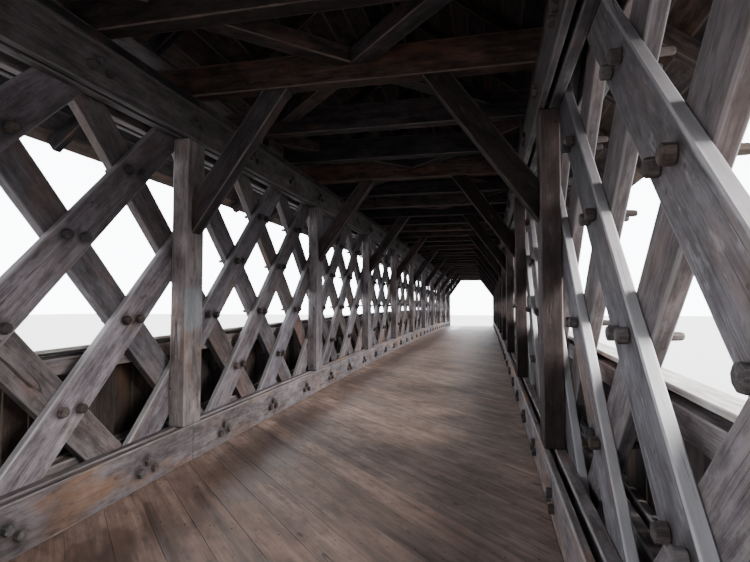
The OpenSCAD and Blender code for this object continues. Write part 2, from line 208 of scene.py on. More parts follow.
class Tree:
    """short words for building a node tree"""

    def __init__(self, group):
        self.nodes, self.links = group.nodes, group.links

    def node(self, kind, inputs=None, **settings):
        made = self.nodes.new(kind)
        for key, value in settings.items():
            setattr(made, key, value)
        for key, value in (inputs or {}).items():
            self.feed(made.inputs[key], value)
        return made

    def feed(self, socket, value):
        if isinstance(value, bpy.types.NodeSocket):
            self.links.new(value, socket)
        elif value is not None:
            socket.default_value = (*value, 1.0) if socket.type == "RGBA" else value

    def math(self, operation, *values):
        made = self.node("ShaderNodeMath", dict(enumerate(values)), operation=operation)
        return made.outputs[0]

    def add(self, a, b):
        return self.math("ADD", a, b)

    def less(self, a, b):
        return self.math("SUBTRACT", a, b)

    def times(self, a, b):
        return self.math("MULTIPLY", a, b)

    def absolute(self, a):
        return self.math("ABSOLUTE", a)

    def wobble(self, noise, reach):
        """a noise round 0.5 made an offset round 0"""
        return self.times(self.less(noise, 0.5), reach)

    def vector(self, operation, a, b=None, scale=None):
        made = self.node("ShaderNodeVectorMath", {0: a, 1: b, 3: scale}, operation=operation)
        return made.outputs["Value" if operation == "LENGTH" else "Vector"]

    def scaled(self, a, scale):
        return self.vector("SCALE", a, scale=scale)

    def split(self, vector):
        return self.node("ShaderNodeSeparateXYZ", {0: vector}).outputs[:3]

    def join(self, x, y, z):
        return self.node("ShaderNodeCombineXYZ", {0: x, 1: y, 2: z}).outputs[0]

    def noise(self, vector, scale=1.0, detail=4.0, rough=0.55, colour=False):
        made = self.node("ShaderNodeTexNoise", {"Vector": vector, "Scale": scale, "Detail": detail,
                                                "Roughness": rough})
        return made.outputs["Color" if colour else 0]

    def drawn(self, vector, stretch, detail, rough=0.55, scale=1.0):
        """a noise drawn out along an axis"""
        return self.noise(self.vector("MULTIPLY", vector, stretch), scale, detail, rough)

    def shake(self, vector, scale, detail):
        """a noise that pushes each way by up to a half"""
        return self.vector("SUBTRACT", self.noise(vector, scale, detail, colour=True), (0.5, 0.5, 0.5))

    def remap(self, value, low, high, to_low=0.0, to_high=1.0):
        numbers = dict(enumerate((value, low, high, to_low, to_high)))
        return self.node("ShaderNodeMapRange", numbers, interpolation_type="SMOOTHSTEP").outputs[0]

    def mix(self, share, a, b, blend="MIX"):
        made = self.node("ShaderNodeMix", {"Factor": share, 6: a, 7: b}, data_type="RGBA", blend_type=blend)
        return made.outputs[2]

    def named(self, name):
        made = self.node("GeometryNodeInputNamedAttribute", {"Name": name}, data_type="FLOAT_VECTOR")
        return made.outputs["Attribute"]

    def store(self, geometry, name, value):
        inputs = {"Geometry": geometry, "Name": name, "Value": value}
        made = self.node("GeometryNodeStoreNamedAttribute", inputs, data_type="FLOAT_VECTOR", domain="POINT")
        return made.outputs[0]


def geometry_tree(name, sockets):
    group = bpy.data.node_groups.new(name, "GeometryNodeTree")
    group.is_modifier = True
    for label, kind, default in sockets:
        made = group.interface.new_socket(name=label, in_out="INPUT", socket_type="NodeSocket" + kind)
        if default is not None:
            made.default_value = default
    group.interface.new_socket(name="Geometry", in_out="OUTPUT", socket_type="NodeSocketGeometry")
    return group, Tree(group)


def cut_timber_tree():
    """one timber on each point: cut to size, mitred, worn and turned into its place"""
    group, t = geometry_tree("cut timbers", [
        ("Geometry", "Geometry", None), ("Stock", "Object", None), ("Chamfer", "Float", 0.006),
        ("Waviness", "Float", 0.004), ("Edge Wear", "Float", 0.002), ("Material", "Material", None)])
    given = t.node("NodeGroupInput").outputs
    shape = t.node("GeometryNodeObjectInfo", {"Object": given["Stock"]}).outputs["Geometry"]
    stood = t.node("GeometryNodeInstanceOnPoints", {"Points": given["Geometry"], "Instance": shape})
    real = t.node("GeometryNodeRealizeInstances", {"Geometry": stood.outputs[0]}).outputs[0]
    corner, size, luck = t.named("corner"), t.named("size"), t.named("luck")
    inset = t.scaled(t.named("inset"), given["Chamfer"])
    x, y, z = t.split(t.vector("SUBTRACT", t.vector("MULTIPLY", corner, size), inset))
    first, second = t.split(t.named("mitre"))[:2]
    share = t.add(t.split(corner)[0], 0.5)
    mitre = t.add(first, t.times(share, t.less(second, first)))
    cut = t.join(t.add(x, t.times(mitre, y)), y, z)
    spread = t.vector("ADD", cut, t.scaled(luck, 50.0))
    slow = t.scaled(t.shake(spread, 0.8, 1.0), given["Waviness"])
    quick = t.scaled(t.shake(spread, 9.0, 2.0), given["Edge Wear"])
    worn = t.vector("ADD", cut, t.vector("ADD", slow, quick))
    turned = t.node("ShaderNodeVectorRotate", {"Vector": worn, "Rotation": t.named("turn")},
                    rotation_type="EULER_XYZ").outputs[0]
    real = t.store(real, "spot", cut)
    real = t.store(real, "half", t.scaled(size, 0.5))
    position = t.vector("ADD", t.named("place"), turned)
    placed = t.node("GeometryNodeSetPosition", {"Geometry": real, "Position": position}).outputs[0]
    skinned = t.node("GeometryNodeSetMaterial", {"Geometry": placed, "Material": given["Material"]})
    t.node("NodeGroupOutput", {0: skinned.outputs[0]})
    return group


def shingle_tree(cut_timbers):
    """courses of shingles on a flat sheet: x along the ridge, y down the slope, z out of the roof"""
    group, t = geometry_tree("shingle courses", [
        ("Geometry", "Geometry", None), ("Stock", "Object", None), ("Ridge Length", "Float", 38.8),
        ("Slope Length", "Float", 4.0), ("Shingle Width", "Float", 0.19), ("Exposure", "Float", 0.145),
        ("Lap", "Float", 0.03), ("Butt Thickness", "Float", 0.013), ("Seed", "Int", 4),
        ("Material", "Material", None)])
    given = t.node("NodeGroupInput").outputs
    width, exposure, lap = given["Shingle Width"], given["Exposure"], given["Lap"]
    butt = given["Butt Thickness"]
    across = t.add(t.math("ROUND", t.math("DIVIDE", given["Ridge Length"], width)), 1.0)
    courses = t.math("ROUND", t.math("DIVIDE", given["Slope Length"], exposure))
    sheet = t.node("GeometryNodeMeshGrid", {
        "Size X": given["Ridge Length"], "Size Y": t.less(given["Slope Length"], exposure),
        "Vertices X": across, "Vertices Y": courses}).outputs[0]
    index = t.node("GeometryNodeInputIndex").outputs[0]
    x, y = t.split(t.node("GeometryNodeInputPosition").outputs[0])[:2]
    course = t.math("ROUND", t.math("DIVIDE", y, exposure))

    def chance(low, high, number, by=index):
        inputs = {2: low, 3: high, "ID": by, "Seed": t.add(given["Seed"], number)}
        return t.node("FunctionNodeRandomValue", inputs, data_type="FLOAT").outputs[1]

    # every other course is moved sideways, and no two by quite the same share of a width
    odd = t.less(t.math("FLOORED_MODULO", course, 2.0), 0.5)
    side = t.add(t.times(odd, 0.4), chance(-0.1, 0.1, 9.0, course))
    side = t.times(width, t.add(side, chance(-0.01, 0.01, 1.0)))
    down = t.add(chance(-0.006, 0.004, 2.0), t.times(lap, -0.5))
    place = t.join(t.add(x, side), t.add(y, down), t.times(butt, 0.5))
    thick = t.times(butt, chance(0.7, 1.0, 4.0))
    size = t.join(t.times(width, chance(0.92, 0.98, 3.0)), t.add(exposure, lap), thick)
    luck = t.join(chance(0.0, 1.0, 5.0), chance(0.0, 1.0, 6.0), chance(0.0, 1.0, 7.0))
    turn = t.join(0.0, 0.0, chance(-0.012, 0.012, 8.0))
    for label, value in (("place", place), ("size", size), ("luck", luck), ("turn", turn),
                         ("mitre", t.join(0.0, 0.0, 0.0))):
        sheet = t.store(sheet, label, value)
    made = t.node("GeometryNodeGroup", node_tree=cut_timbers)
    for label, value in (("Geometry", sheet), ("Stock", given["Stock"]), ("Chamfer", 0.0), ("Waviness", 0.0),
                         ("Edge Wear", 0.0), ("Material", given["Material"])):
        t.feed(made.inputs[label], value)
    t.node("NodeGroupOutput", {0: made.outputs[0]})
    return group


cut_timbers = cut_timber_tree()
shingle_courses = shingle_tree(cut_timbers)
long_stock = board_stock("long timber stock", 44)
beam_stock = board_stock("beam stock", 20)
short_stock = board_stock("short board stock", 6)
wedge_stock = shingle_stock()
through_peg = turned_stock("through peg stock", 8, [
    (-0.5, 0.34), (-0.49, 0.42), (-0.47, 0.48), (-0.42, 0.5), (-0.33, 0.49), (-0.31, 0.36), (0.1, 0.3),
    (0.16, 0.29), (0.45, 0.25), (0.485, 0.22), (0.5, 0.15)], 0.06)
short_peg = turned_stock("chord peg stock", 8, [(-0.5, 0.38), (-0.44, 0.48), (-0.2, 0.5), (0.5, 0.46)], 0.05)
nail_stock = turned_stock("nail stock", 6, [(-0.5, 0.5), (0.3, 0.5), (0.5, 0.3)])


def evaluated_mesh(name, points, group, values):
    """runs a tree on an object and gives back the plain mesh"""
    source = bpy.data.objects.new(name + " layout", points)
    bpy.context.scene.collection.objects.link(source)
    modifier = source.modifiers.new("layout", "NODES")
    modifier.node_group = group
    sockets = {item.name: item.identifier for item in group.interface.items_tree if item.in_out == "INPUT"}
    for label, value in values.items():
        modifier[sockets[label]] = value
    view = bpy.context.evaluated_depsgraph_get()
    mesh = bpy.data.meshes.new_from_object(source.evaluated_get(view), preserve_all_data_layers=True,
                                           depsgraph=view)
    source.modifiers.remove(modifier)
    bpy.data.objects.remove(source)
    mesh.name = name
    for label in ("corner", "inset", "place", "turn", "size", "mitre"):
        layer = mesh.attributes.get(label)
        if layer:
            mesh.attributes.remove(layer)
    return mesh


def vertex_array(mesh):
    flat = np.empty(len(mesh.vertices) * 3, dtype=np.float64)
    mesh.vertices.foreach_get("co", flat)
    return flat.reshape(-1, 3)


def write_vertices(mesh, array):
    mesh.vertices.foreach_set("co", array.ravel())
    mesh.update()


def finish_piece(name, mesh, slot, node):
    piece = bpy.data.objects.new(name, mesh)
    bpy.context.scene.collection.objects.link(piece)
    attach(piece, "root")
    if node:
        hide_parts(node)


# a piece is laid out with the deck at z = 0, then cut off where it ends and lifted with the camber
def lift(array):
    array[:, 2] += rise(array[:, 1]) + deck_level


def trim_lattice(array):
    array[:, 1] = np.clip(array[:, 1], -lattice_end, lattice_end)
    array[:, 2] = np.clip(array[:, 2], lower_bottom, upper_top)
    lift(array)


def trim_roof(array):
    array[:, 0] = np.clip(array[:, 0], -roof_edge, roof_edge)
    array[:, 1] = np.clip(array[:, 1], -roof_end, roof_end)
    lift(array)


def two_bay_runs(end, first=1, shift=0.0):
    """where lengths of two bays start and end, from one end of the bridge to the other"""
    cuts = [-end] + [float(bay_points[k]) + shift for k in range(first, bays, 2)] + [end]
    return list(zip(cuts, cuts[1:]))


def about(middle, width):
    return middle - width / 2, middle + width / 2


def in_plane(plane, point, place):
    """a point drawn in the plane xy, xz or yz, as a point of the bridge"""
    drawn = dict(zip(plane, point))
    return tuple(drawn.get(axis, place) for axis in "xyz")


class Cutting:
    """the timbers of one piece: where each lies, how it is turned, its size and the cut of its ends;
    they are laid out for the right side of the bridge and mirrored where side is -1"""

    axes = {"x": (1, 0, 0), "y": (0, 1, 0), "z": (0, 0, 1)}

    def __init__(self, seed, side=1):
        self.rows, self.side = [], side
        self.chance = random.Random(seed)

    def both_sides(self):
        for side in (-1, 1):
            self.side = side
            yield side

    def add(self, middle, along, wide, size, mitre=(0.0, 0.0)):
        u, v = Vector(along).normalized(), Vector(wide).normalized()
        turn = Matrix((u, v, u.cross(v))).transposed().to_euler("XYZ")
        luck = [self.chance.random() for _ in range(3)]
        self.rows.append((*middle, *turn, *size, *mitre, 0.0, *luck))

    def block(self, lies, x0, x1, y0, y1, z0, z1):
        """a square-cut timber; lies names the axes of its length, width and thickness"""
        spans = {"x": (x0, x1) if self.side > 0 else (-x1, -x0), "y": (y0, y1), "z": (z0, z1)}
        middle = [(low + high) / 2 for low, high in spans.values()]
        size = [spans[axis][1] - spans[axis][0] for axis in lies]
        self.add(middle, self.axes[lies[0]], self.axes[lies[1]], size)

    def lengthwise(self, x0, x1, y0, y1, z0, z1):
        self.block("yzx", x0, x1, y0 + butt_gap / 2, y1 - butt_gap / 2, z0, z1)

    def bays(self, x0, x1, z0, z1, end, first=1):
        """lengths of two bays, butted over the bay points"""
        for y0, y1 in two_bay_runs(end, first):
            self.lengthwise(x0, x1, y0, y1, z0, z1)

    def sawn(self, plane, place, thick, low0, low1, high1, high0):
        """a timber drawn by its two long edges in the plane xy, xz or yz, with mitred ends"""
        mirror = Vector((self.side if plane[0] == "x" else 1, 1))
        a, b, c, d = (Vector(p) * mirror for p in (low0, low1, high1, high0))
        u = (b - a).normalized()
        v = Vector((-u.y, u.x))
        if v.dot(d - a) < 0:
            v = -v
        width = (d - a).dot(v)
        cut0, cut1, end = (d - a).dot(u), (c - a).dot(u), (b - a).length
        x0, x1 = cut0 / 2, (end + cut1) / 2
        middle = a + u * (x0 + x1) / 2 + v * width / 2
        self.add(in_plane(plane, middle, place), in_plane(plane, u, 0), in_plane(plane, v, 0),
                 (x1 - x0, width, thick), (cut0 / width, (cut1 - end) / width))

    def on_slope(self, down, out, runs, gap, width, thick):
        """boards along the roof, down the slope from its top and out of its surface"""
        slope = Vector((self.side * roof_cos, 0, -roof_sin))
        away = Vector((self.side * roof_sin, 0, roof_cos))
        middle = roof_top + slope * down + away * out
        for y0, y1 in runs:
            self.add((middle.x, (y0 + y1) / 2, middle.z), (0, 1, 0), slope, (y1 - y0 - gap, width, thick))

    def peg(self, x, y, z, inward, stray, length, width):
        """a peg that points along inward, a little off its mark"""
        y += self.chance.uniform(-0.008, 0.008)
        z += self.chance.uniform(-stray, stray)
        roll = (0, self.chance.uniform(-1, 1), 1)
        self.add((self.side * x, y, z), (self.side * inward, 0, 0), roll, (length, width, width))

    def piece(self, name, material, slot, node, finish=planed, stock=beam_stock, level=lift):
        """runs the tree on the timbers; finish gives chamfer, waviness and edge wear"""
        table = np.array(self.rows, dtype=np.float32)
        points = bpy.data.meshes.new(name + " points")
        points.from_pydata([tuple(r) for r in table[:, 0:3].tolist()], [], [])
        for label, start in (("place", 0), ("turn", 3), ("size", 6), ("mitre", 9), ("luck", 12)):
            layer = points.attributes.new(label, "FLOAT_VECTOR", "POINT")
            layer.data.foreach_set("vector", np.ascontiguousarray(table[:, start:start + 3]).ravel())
        worked = dict(zip(("Chamfer", "Waviness", "Edge Wear"), finish))
        mesh = evaluated_mesh(name, points, cut_timbers, {"Stock": stock, "Material": material, **worked})
        array = vertex_array(mesh)
        level(array)
        write_vertices(mesh, array)
        finish_piece(name, mesh, slot, node)


class Skin(Tree):
    """the tree of a material: a base colour, coats laid over it, and a surface at the end"""

    def __init__(self, name):
        self.material = bpy.data.materials.new(name)
        self.material.use_nodes = True
        self.material.node_tree.nodes.clear()
        super().__init__(self.material.node_tree)
        self.place = self.node("ShaderNodeTexCoord").outputs["Object"]
        self.x, self.y, self.z = self.split(self.place)
        self.base = None

    def attribute(self, name):
        return self.node("ShaderNodeAttribute", attribute_name=name).outputs["Vector"]

    def cells(self, vector, scale):
        made = self.node("ShaderNodeTexVoronoi", {"Vector": vector, "Scale": scale}).outputs
        return made["Distance"], made["Color"]

    def cover(self, share, colour):
        self.base = self.mix(share, self.base, colour)

    def tint(self, share, colour):
        self.cover(share, self.mix(1.0, self.base, colour, "MULTIPLY"))

    def surface(self, rough, height=None, relief=0.5, depth=0.004, gloss=0.5):
        inputs = {"Base Color": self.base, "Roughness": rough, "Specular IOR Level": gloss}
        if height is not None:
            bump = self.node("ShaderNodeBump", {"Strength": relief, "Distance": depth, "Height": height})
            inputs["Normal"] = bump.outputs[0]
        shader = self.node("ShaderNodeBsdfPrincipled", inputs)
        self.node("ShaderNodeOutputMaterial", {"Surface": shader.outputs[0]})
        return self.material


def timber_skin(name, fibre):
    """weathered softwood: the grain follows each timber through its own attributes"""
    t = Skin(name)
    t.spot, t.half = t.attribute("spot"), t.attribute("half")
    luck = t.attribute("luck")
    t.luck = t.split(luck)
    t.here = t.vector("ADD", t.spot, t.scaled(luck, 37.0))
    t.bend = t.scaled(t.shake(t.here, 2.2, 1.0), 0.022)
    t.bent = t.vector("ADD", t.here, t.bend)
    t.fibre = fibre
    t.bands = t.drawn(t.bent, (1.1, 26.0 * fibre, 26.0 * fibre), 4.0, 0.65)
    t.mottled = t.drawn(t.here, (3.2, 8.0, 8.0), 5.0, 0.7)
    t.cloud = t.drawn(t.here, (1.0, 2.0, 2.0), 3.0, 0.6, 1.6)
    return t


def lay_grain(t, dark, pale, mottle):
    """fibres from broad bands to fine hairs, and growth rings round a pith beside the timber"""
    hairs = t.drawn(t.bent, (5.0, 150.0 * t.fibre, 150.0 * t.fibre), 1.0, 0.6)
    lines = t.add(t.times(t.bands, 0.62 * (1 - mottle)), t.times(hairs, 0.38 * (1 - mottle)))
    lines = t.add(lines, t.times(t.mottled, mottle))
    t.base = t.mix(t.remap(lines, 0.38, 0.62), dark, pale)
    side = t.split(t.vector("ADD", t.spot, t.bend))[1]
    side = t.add(side, t.wobble(t.luck[1], 0.3))
    up = t.add(t.split(t.spot)[2], t.times(t.luck[0], 0.16))
    from_pith = t.vector("LENGTH", t.join(0.0, side, up))
    sway = t.drawn(t.here, (0.8, 3.0, 3.0), 1.0)
    wave = t.add(t.times(from_pith, 420.0 * t.fibre), t.times(sway, 26.0))
    rings = t.remap(t.math("SINE", wave), -0.2, 1.0)
    t.cover(t.times(rings, 0.12), [c * 0.62 for c in dark])


def lay_weather(t, tan, tan_share, tone, grime):
    """the brown of fresher wood, blotches and marks, and a tone of its own for each timber"""
    stain = t.drawn(t.here, (1.0, 3.0, 3.0), 3.0, 0.65, 0.9)
    fresh = t.times(t.remap(t.luck[2], 0.2, 0.9, 0.25, 1.0), tan_share)
    t.cover(t.times(t.remap(stain, 0.5, 0.68), fresh), tan)
    t.tint(t.remap(t.cloud, 0.34, 0.6, grime, 0.0), (0.5, 0.47, 0.45))
    marks = t.drawn(t.here, (7.0, 20.0, 20.0), 3.0, 0.6)
    t.tint(t.remap(marks, 0.55, 0.66, 0.0, grime), (0.56, 0.5, 0.48))
    t.cover(t.remap(marks, 0.3, 0.42, 0.25 * grime, 0.0), t.worn)
    shade = t.add(t.wobble(t.luck[0], tone), 1.0)
    warm = t.wobble(t.luck[1], tone * 0.3)
    t.tint(1.0, t.join(t.add(shade, warm), shade, t.less(shade, warm)))


def lay_knots(t, share, tan):
    """a few knots to a timber, each in a brown halo, and small specks of dirt"""
    away, number = t.cells(t.vector("MULTIPLY", t.bent, (2.0, 4.5, 4.5)), 1.0)
    chosen = t.math("GREATER_THAN", t.split(number)[0], 1.0 - share * 0.55)
    halo = t.times(chosen, t.remap(away, 0.08, 0.3, 1.0, 0.0))
    t.cover(t.times(halo, 0.35), [c * 0.8 for c in tan])
    knot = t.times(chosen, t.remap(away, 0.035, 0.1, 1.0, 0.0))
    t.cover(t.times(knot, 0.85), (0.035, 0.022, 0.016))
    away, number = t.cells(t.here, 12.0)
    reach = t.remap(t.split(number)[0], 0.6, 1.0, -0.02, 0.15)
    speck = t.remap(t.less(reach, away), -0.03, 0.03)
    t.tint(t.times(speck, 0.85 * share), (0.3, 0.25, 0.23))


def wear_edges(t, share, end_dirt):
    """worn arrises and dark end grain"""
    room = t.vector("SUBTRACT", t.half, t.vector("ABSOLUTE", t.spot))
    to_end, to_side, to_face = t.split(room)
    to_arris = t.add(t.math("MAXIMUM", to_side, to_face), t.wobble(t.mottled, 0.04))
    t.cover(t.times(t.remap(to_arris, 0.0, 0.016, 1.0, 0.0), share), t.worn)
    t.tint(t.remap(to_end, 0.0, 0.03, end_dirt, 0.0), (0.38, 0.35, 0.33))


def painted_top_light(t, share):
    """painted top light: paler on faces that look up, as if lit by the sky"""
    upward = t.split(t.node("ShaderNodeNewGeometry").outputs["Normal"])[2]
    t.cover(t.remap(upward, 0.3, 0.65, 0.0, share), t.mix(0.35, t.worn, t.base))


def painted_roof_shade(t, share, colour=(0.3, 0.28, 0.29)):
    """painted shade: darker towards the roof, where less light reaches"""
    height = t.add(t.z, t.times(t.cloud, 0.8))
    t.tint(t.remap(height, deck_level + 1.5, deck_level + 3.0, 0.0, share), colour)


def streaks(t, share):
    run = t.drawn(t.place, (7.0, 7.0, 0.7), 4.0, 0.6)
    t.tint(t.remap(run, 0.5, 0.7, 0.0, share), (0.33, 0.3, 0.28))


def portal_dirt_and_shade(t, share):
    """darker near the portals, partly dirt and partly painted shade; less so close to the right truss, as
    painted light where that truss casts shade
    """
    dirt_and_shade = t.remap(t.absolute(t.y), truss_half - 6.5, truss_half - 2.0, 0.0, share)
    t.tint(t.times(dirt_and_shade, t.remap(t.x, 0.7, 1.5, 1.0, 0.25)), (0.55, 0.52, 0.5))


def pale_mark(t, middle):
    """a pale weathered patch across one post"""
    away = t.vector("SUBTRACT", t.place, middle)
    inward, across, up = (t.absolute(part) for part in t.split(away))
    outside = t.math("MAXIMUM", t.less(up, 0.17), t.less(across, 0.15))
    mark = t.remap(t.add(outside, t.wobble(t.mottled, 0.3)), -0.02, 0.05, 0.4, 0.0)
    t.cover(t.times(mark, t.remap(inward, 0.01, 0.02, 1.0, 0.0)), (0.26, 0.31, 0.34))


def trodden(t, share):
    """long drag marks along the boards"""
    drag = t.drawn(t.here, (0.45, 17.0, 17.0), 5.0, 0.7)
    t.tint(t.remap(drag, 0.52, 0.62, 0.0, share), (1.38, 1.38, 1.38))
    t.tint(t.remap(drag, 0.36, 0.47, share, 0.0), (0.58, 0.54, 0.52))


def peg_stains(t, pegs, lifted):
    """dark beside the pegs of each crossing; pegs gives their places along and above its middle"""
    out = t.math("DIVIDE", t.absolute(t.y), truss_half)
    bow = t.times(t.less(1.0, t.math("POWER", out, 2.0)), camber)
    above = t.less(t.z, t.add(bow, deck_level + row_zero + lifted))
    row = t.times(t.math("ROUND", t.math("DIVIDE", above, row_step)), row_step)
    up = t.less(above, row)
    along = t.math("FLOORED_MODULO", t.add(t.less(t.y, row), row_shift), pitch)
    along = t.less(along, pitch / 2)
    nearest = 1.0
    for side, high in pegs:
        away = t.vector("LENGTH", t.join(t.less(along, side), t.less(up, high), 0.0))
        nearest = t.math("MINIMUM", nearest, away)
    near = t.remap(t.add(nearest, t.wobble(t.mottled, 0.06)), 0.03, 0.085, 1.0, 0.0)
    t.tint(t.times(near, 0.75), (0.36, 0.3, 0.28))


def damp_band(t, share):
    """rain blown in over the left curb: a dark band with ragged fingers along the boards"""
    off_band = t.absolute(t.add(t.x, 1.0))
    finger = t.drawn(t.here, (0.9, 8.0, 8.0), 5.0, 0.62)
    pool = t.drawn(t.place, (1.0, 0.55, 1.0), 4.0, 0.6, 0.9)
    sum_wet = t.add(t.add(finger, pool), t.remap(off_band, 0.15, 0.75, 0.22, -0.3))
    wet = t.remap(sum_wet, 1.06, 1.2, 0.0, share)
    t.tint(wet, (0.46, 0.41, 0.39))
    return wet


def drying_cracks(t, share):
    """long drying cracks"""
    apart = t.absolute(t.less(t.drawn(t.bent, (0.3, 11.0, 11.0), 1.0, 0.4), 0.5))
    open_here = t.remap(t.cloud, 0.62 - 0.14 * share, 0.7 - 0.14 * share)
    crack = t.times(t.remap(apart, 0.0, 0.009, 1.0, 0.0), open_here)
    t.cover(t.times(crack, 0.9), (0.018, 0.014, 0.012))
    return crack


def wood(name, dark, pale, tan, worn, tone, knots=0.6, cracks=0.8, grime=0.6, mottle=0.5, end_dirt=0.3,
         fibre=1.0, rough=0.82, relief=0.6, gloss=0.3, coats=(), damp=0.0):
    """one sort of timber; tan and worn are a colour and how much of it shows"""
    t = timber_skin(name, fibre)
    t.worn, worn_share = worn
    lay_grain(t, dark, pale, mottle)
    lay_weather(t, *tan, tone, grime)
    if knots:
        lay_knots(t, knots, tan[0])
    wear_edges(t, worn_share, end_dirt)
    for coat, *values in coats:
        coat(t, *values)
    wet = damp_band(t, damp) if damp else 0.0
    crack = drying_cracks(t, cracks)
    sheen = t.less(t.remap(t.bands, 0.3, 0.7, rough - 0.08, rough + 0.1), t.times(wet, 0.22))
    return t.surface(sheen, t.less(t.times(t.bands, 0.6), t.times(crack, 1.2)), relief, gloss=gloss)


def concrete(name):
    """cast between boards, with fins at their joints, pits and dark runs"""
    t = Skin(name)
    board = t.math("DIVIDE", t.z, 0.19)
    fin = t.remap(t.absolute(t.less(t.math("FRACT", board), 0.5)), 0.475, 0.5)
    number = t.math("FLOOR", board)
    row_tone = t.noise(t.join(number, t.times(number, 3.7), 0.0), 3.1, 1.0)
    cloud = t.noise(t.place, 1.4, 6.0, 0.62)
    grit = t.noise(t.place, 90.0, 3.0, 0.7)
    holes = t.remap(t.cells(t.place, 26.0)[0], 0.08, 0.2, 1.0, 0.0)
    pit = t.times(holes, t.remap(t.noise(t.place, 6.0, 2.0), 0.55, 0.7))
    t.base = t.mix(t.remap(cloud, 0.3, 0.7), (0.13, 0.125, 0.115), (0.27, 0.258, 0.235))
    t.cover(t.remap(row_tone, 0.35, 0.65, 0.0, 0.3), (0.18, 0.175, 0.165))
    run = t.drawn(t.place, (5.0, 5.0, 0.45), 5.0, 0.62)
    t.cover(t.remap(run, 0.48, 0.68, 0.0, 0.6), (0.06, 0.057, 0.052))
    t.cover(t.remap(t.z, 0.0, 0.5, 0.5, 0.0), (0.085, 0.077, 0.063))
    t.cover(t.times(pit, 0.7), (0.045, 0.042, 0.04))
    t.cover(t.times(fin, 0.35), (0.1, 0.095, 0.09))
    rough_face = t.add(t.times(grit, 0.25), t.times(cloud, 0.3))
    height = t.less(t.add(rough_face, t.times(fin, 0.8)), pit)
    return t.surface(0.9, height, 0.5, 0.006)


def rusty_iron(name):
    t = Skin(name)
    t.base = t.mix(t.noise(t.place, 60.0, 3.0), (0.03, 0.022, 0.018), (0.11, 0.055, 0.03))
    return t.surface(0.75)


chord_wood = wood(
    "chord timber", (0.117, 0.102, 0.107), (0.312, 0.278, 0.291), ((0.42, 0.22, 0.1), 0.7),
    ((0.56, 0.53, 0.53), 0.6), 0.2, knots=0.7, cracks=0.9, grime=0.5, mottle=0.6, end_dirt=0.0,
    coats=[(portal_dirt_and_shade, 1.0), (peg_stains, peg_trio, trio_lift)])
lattice_wood = wood(
    "lattice timber", (0.107, 0.093, 0.105), (0.32, 0.288, 0.316), ((0.27, 0.15, 0.09), 0.6),
    ((0.56, 0.55, 0.55), 0.35), 0.4, knots=0.9,
    coats=[(painted_top_light, 0.55), (painted_roof_shade, 0.9, (0.19, 0.17, 0.19)), (peg_stains, peg_pair, 0.0)])
# painted shade: a darker copy of the lattice timber for the right truss, with a paler worn colour and more
# painted top light
shaded_right_lattice_wood = wood(
    "right lattice timber", (0.065, 0.057, 0.061), (0.186, 0.171, 0.182), ((0.24, 0.13, 0.08), 0.45),
    ((0.66, 0.65, 0.665), 0.35), 0.35, knots=0.7,
    coats=[(painted_top_light, 0.7), (painted_roof_shade, 0.95), (peg_stains, peg_pair, 0.0)])
outer_wood = wood(
    "outer lattice timber", (0.06, 0.051, 0.054), (0.185, 0.163, 0.171), ((0.22, 0.11, 0.07), 0.55),
    ((0.36, 0.35, 0.35), 0.3), 0.45, coats=[(painted_top_light, 0.5), (painted_roof_shade, 0.8)])
# painted shade: far darker than the curb chord's timber, for the shade under the eaves
shaded_upper_chord_wood = wood(
    "upper chord timber", (0.021, 0.0175, 0.0185), (0.068, 0.058, 0.062), ((0.06, 0.033, 0.028), 0.4),
    ((0.11, 0.1, 0.1), 0.5), 0.35, cracks=0.9, grime=0.5, gloss=0.15)
post_wood = wood(
    "post timber", (0.125, 0.106, 0.11), (0.36, 0.322, 0.332), ((0.3, 0.17, 0.1), 0.35),
    ((0.5, 0.46, 0.43), 0.35), 0.25, knots=1.0, grime=0.55, coats=[
        (painted_roof_shade, 0.75), (portal_dirt_and_shade, 0.5),
        (pale_mark, (-post_face, float(bay_points[1]), deck_level + 1.45))])
# painted shade: a far darker copy of the post timber for the right truss
shaded_post_wood = wood(
    "post timber in painted shade", (0.014, 0.0095, 0.0095), (0.045, 0.032, 0.032), ((0.09, 0.04, 0.035), 0.5),
    ((0.15, 0.12, 0.115), 0.6), 0.5, knots=1.0, grime=0.5, coats=[(painted_roof_shade, 0.3)])
# painted shade: dark for the shade under the eaves
shaded_knee_wood = wood(
    "knee brace timber", (0.015, 0.0112, 0.0112), (0.046, 0.035, 0.035), ((0.08, 0.04, 0.03), 0.4),
    ((0.13, 0.105, 0.1), 0.7), 0.6, knots=0.8, grime=0.5, gloss=0.08)
# painted shade: a still darker copy of the knee brace timber for the right truss
shaded_right_knee_wood = wood(
    "right knee brace timber", (0.005, 0.0036, 0.0035), (0.016, 0.0115, 0.011), ((0.035, 0.015, 0.012), 0.4),
    ((0.07, 0.055, 0.05), 0.7), 0.6, knots=0.8, grime=0.5, gloss=0.08)
tie_wood = wood(
    "tie timber", (0.011, 0.0082, 0.008), (0.036, 0.0265, 0.025), ((0.07, 0.034, 0.025), 0.5),
    ((0.1, 0.074, 0.066), 0.6), 0.8, gloss=0.05)
roof_wood = wood(
    "dark roof timber", (0.012, 0.0097, 0.0093), (0.04, 0.032, 0.03), ((0.06, 0.028, 0.019), 0.45),
    ((0.08, 0.062, 0.055), 0.6), 0.8, gloss=0.05)
under_wood = wood(
    "floor timber", (0.03, 0.024, 0.021), (0.1, 0.08, 0.07), ((0.12, 0.07, 0.045), 0.4),
    ((0.16, 0.135, 0.12), 0.4), 0.5)
